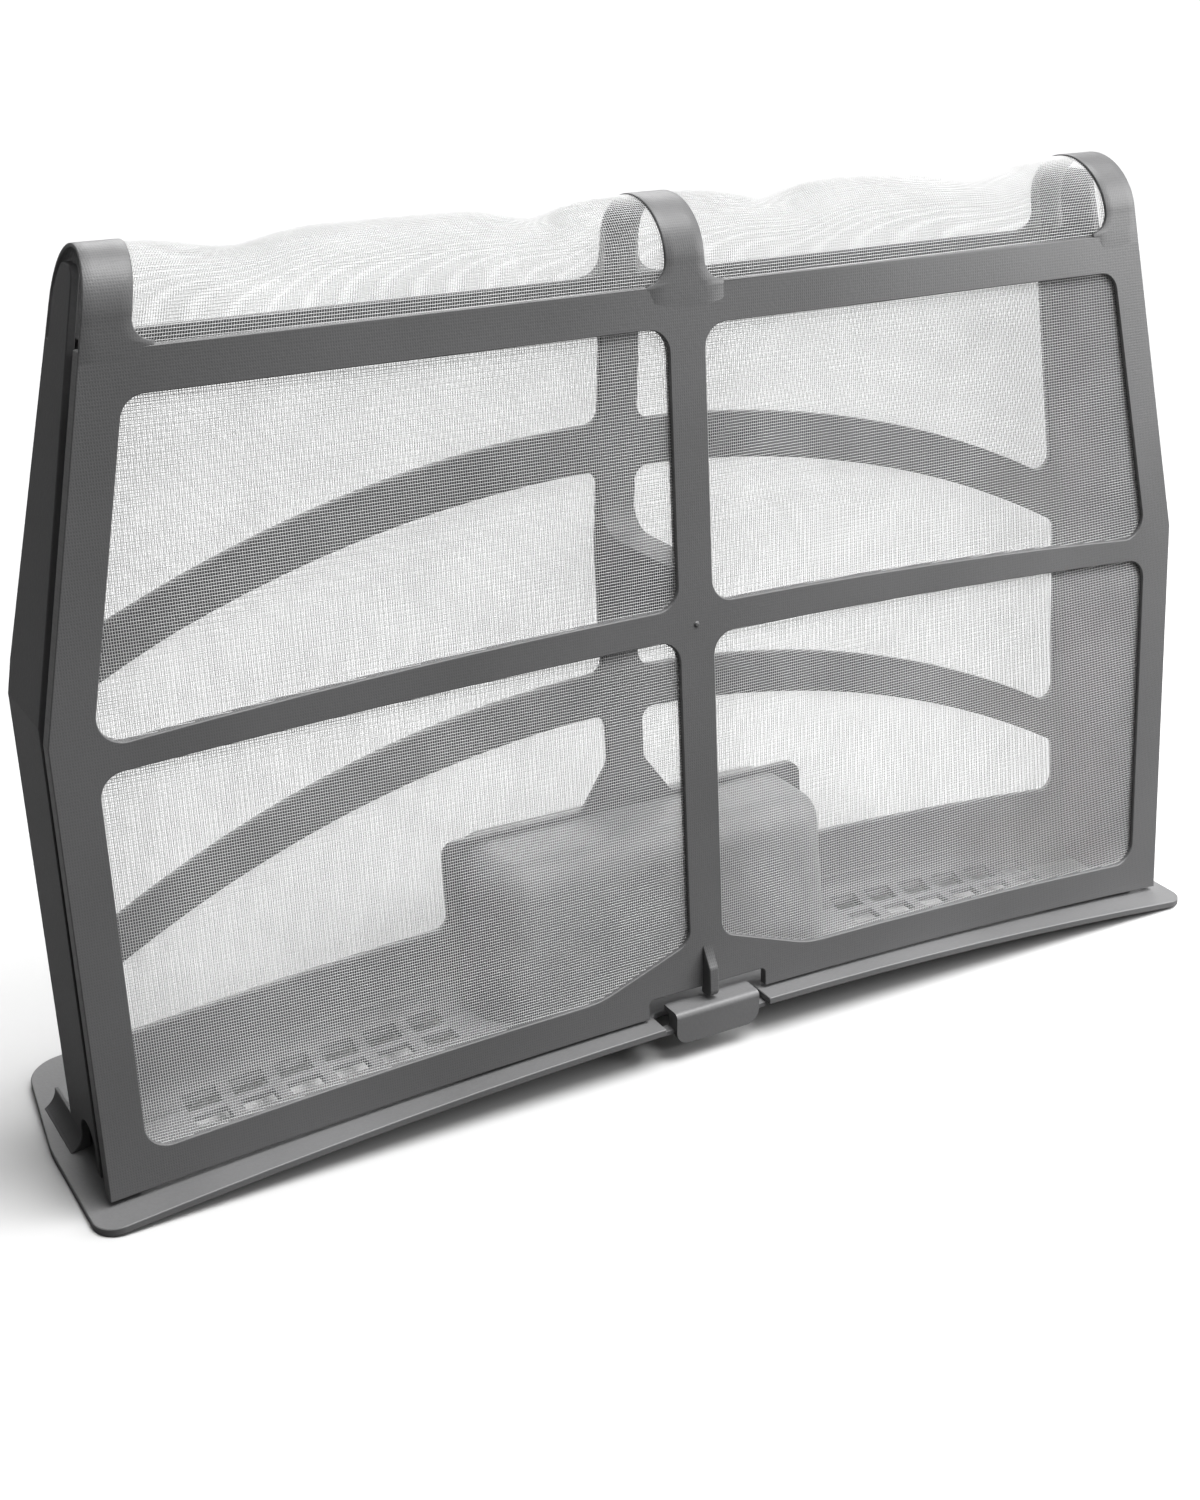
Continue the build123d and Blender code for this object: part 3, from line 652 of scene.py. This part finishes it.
# largest of the named kinds of ray, each times its share
def rayShare(tree, shares):
    rays = tree.nodes.new("ShaderNodeLightPath")
    last = None
    for ray, share in shares.items():
        part = tree.nodes.new("ShaderNodeMath")
        part.operation = "MULTIPLY"
        part.inputs[1].default_value = share
        tree.links.new(rays.outputs[ray], part.inputs[0])
        if last:
            most = tree.nodes.new("ShaderNodeMath")
            most.operation = "MAXIMUM"
            tree.links.new(last, most.inputs[0])
            tree.links.new(part.outputs[0], most.inputs[1])
            part = most
        last = part.outputs[0]
    return last


# square of floor with one colour for the rays that see it white and another for the light it throws
def makeFloor():
    half = studio["floorHalf"] / mm
    points = np.array([(-half, -half, 0), (half, -half, 0), (half, half, 0), (-half, half, 0)], float)
    material = bpy.data.materials.new("paleFloor")
    material.use_nodes = True
    tree = material.node_tree
    shader = tree.nodes["Principled BSDF"]
    shader.inputs["Roughness"].default_value = studio["floorRough"]
    shader.inputs["Specular IOR Level"].default_value = 0.0
    tone = tree.nodes.new("ShaderNodeMix")
    tone.data_type = "RGBA"
    tone.inputs["A"].default_value = studio["floorBounce"]
    tone.inputs["B"].default_value = studio["floorColor"]
    tree.links.new(rayShare(tree, studio["whiteTo"]), tone.inputs["Factor"])
    tree.links.new(tone.outputs["Result"], shader.inputs["Base Color"])
    floor = addMesh("floor", points, np.array([[0, 1, 2, 3]]), material)


# sky that is white to the camera; its light on the object grows from left to right
def makeWorld():
    world = bpy.data.worlds.new("studio")
    bpy.context.scene.world = world
    world.use_nodes = True
    tree = world.node_tree
    sky = tree.nodes["Background"]
    sky.inputs["Color"].default_value = (1, 1, 1, 1)
    link = tree.links.new
    way = tree.nodes.new("ShaderNodeTexCoord")
    split = tree.nodes.new("ShaderNodeSeparateXYZ")
    link(way.outputs["Generated"], split.inputs[0])
    low, high = studio["skySpan"]
    light = addNode(tree, "ShaderNodeMapRange", From_Min=low, From_Max=high,
                    To_Min=studio["skyDim"], To_Max=studio["skyBright"])
    link(split.outputs["X"], light.inputs["Value"])
    level = tree.nodes.new("ShaderNodeMix")
    link(rayShare(tree, studio["whiteTo"]), level.inputs["Factor"])
    link(light.outputs["Result"], level.inputs["A"])
    level.inputs["B"].default_value = studio["skyWhite"]
    link(level.outputs["Result"], sky.inputs["Strength"])


# square lamp at a place, turned to its aim
def addLamp(name, place, aim, size, power):
    lamp = bpy.data.lights.new(name, "AREA")
    lamp.size = size
    lamp.energy = power
    obj = bpy.data.objects.new(name, lamp)
    obj.location = place
    obj.rotation_euler = (Vector(aim) - Vector(place)).to_track_quat("-Z", "Y").to_euler()
    bpy.context.scene.collection.objects.link(obj)


# far soft light from one direction, the same all over the floor
def addSun(name, source, power, spread):
    sun = bpy.data.lights.new(name, "SUN")
    sun.energy = power
    sun.angle = radians(spread)
    obj = bpy.data.objects.new(name, sun)
    obj.rotation_euler = (-Vector(source)).to_track_quat("-Z", "Y").to_euler()
    bpy.context.scene.collection.objects.link(obj)


makeFloor()
makeWorld()
addSun("topSun", *studio["topSun"])
addSun("backSun", *studio["backSun"])
addLamp("rightLamp", *studio["rightLamp"])
bpy.context.scene.view_settings.view_transform = "Standard"

# camera fitted to the photograph
shot = {
    "place": (-0.26805, -0.44552, 0.30021), "look": (0.4544, 0.7961, -0.3998),
    "lens": 50.175, "sensor": 36.0, "near": 0.01,
}
cameraData = bpy.data.cameras.new("camera")
cameraData.lens = shot["lens"]
cameraData.sensor_width = shot["sensor"]
cameraData.clip_start = shot["near"]
camera = bpy.data.objects.new("camera", cameraData)
camera.location = shot["place"]
camera.rotation_euler = Vector(shot["look"]).to_track_quat("-Z", "Y").to_euler()
bpy.context.scene.collection.objects.link(camera)
bpy.context.scene.camera = camera
print("studio and camera set")
